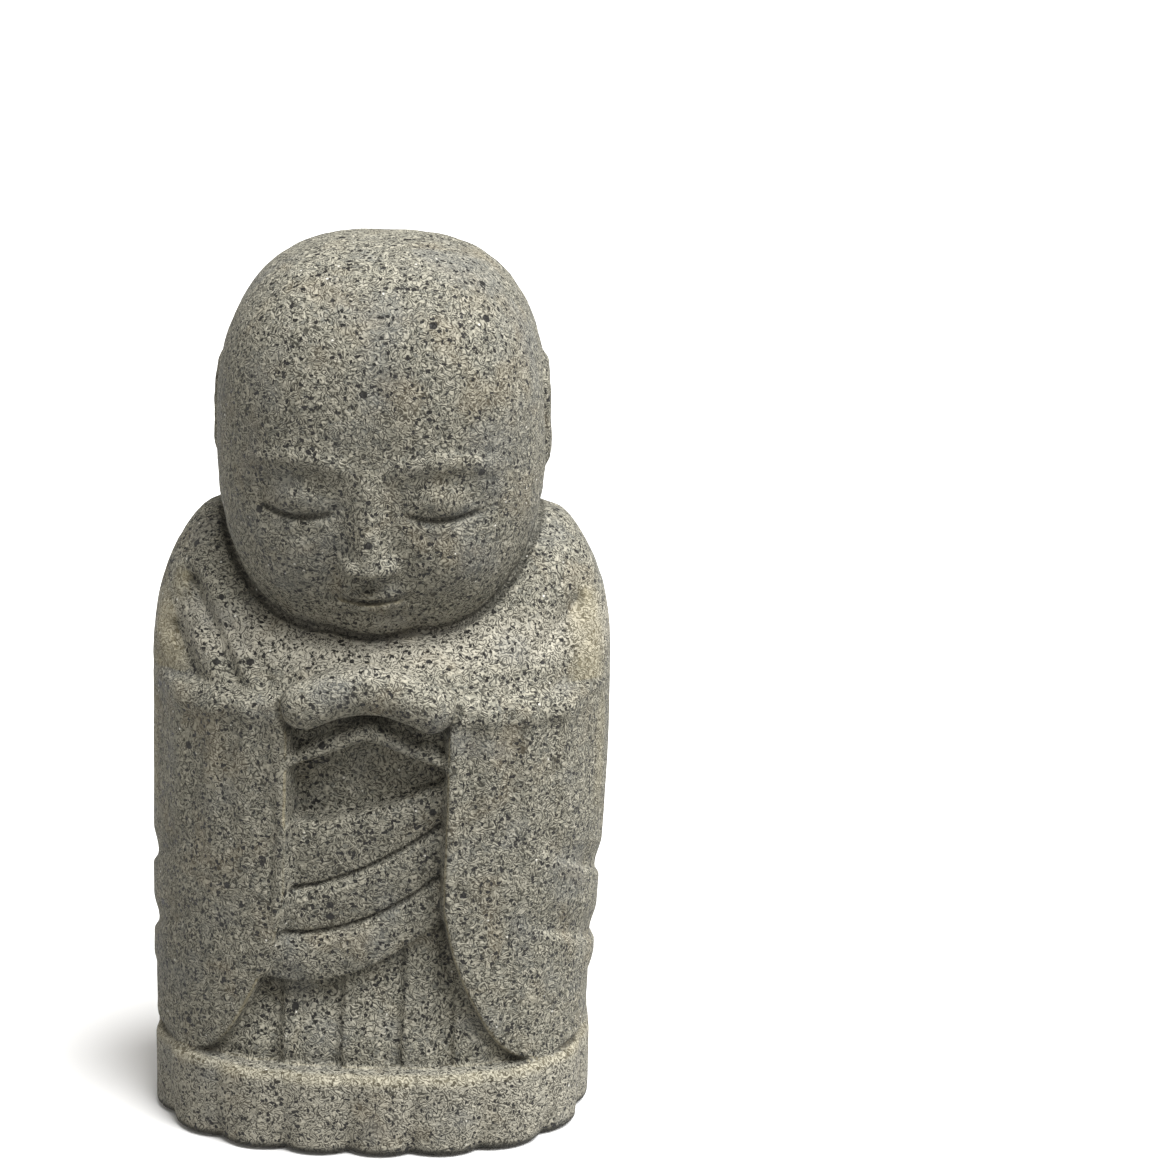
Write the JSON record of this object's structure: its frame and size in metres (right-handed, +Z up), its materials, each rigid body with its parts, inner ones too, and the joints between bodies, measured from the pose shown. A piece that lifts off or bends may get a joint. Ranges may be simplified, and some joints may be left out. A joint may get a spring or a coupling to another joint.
{
  "type": "stone jizo statue",
  "caption": "Small carved granite jizo: a child monk with joined hands under long hanging sleeves, standing on a lobed base band cut from the same block.",
  "frame": {"origin": "middle of the bounding box's underside, on the ground under the statue", "axes": "+Z up through the crown, -Y the way the face looks, +X towards the statue's own left hand (the right of someone who faces it)"},
  "size_m": [0.1537, 0.1238, 0.2999],
  "materials": {
    "granite": "fine-grained grey granite, chiselled smooth and left matt, with dark mica specks and faint warm patches"
  },
  "bodies": {
    "root": {"statue": "granite"}
  },
  "joints": []
}
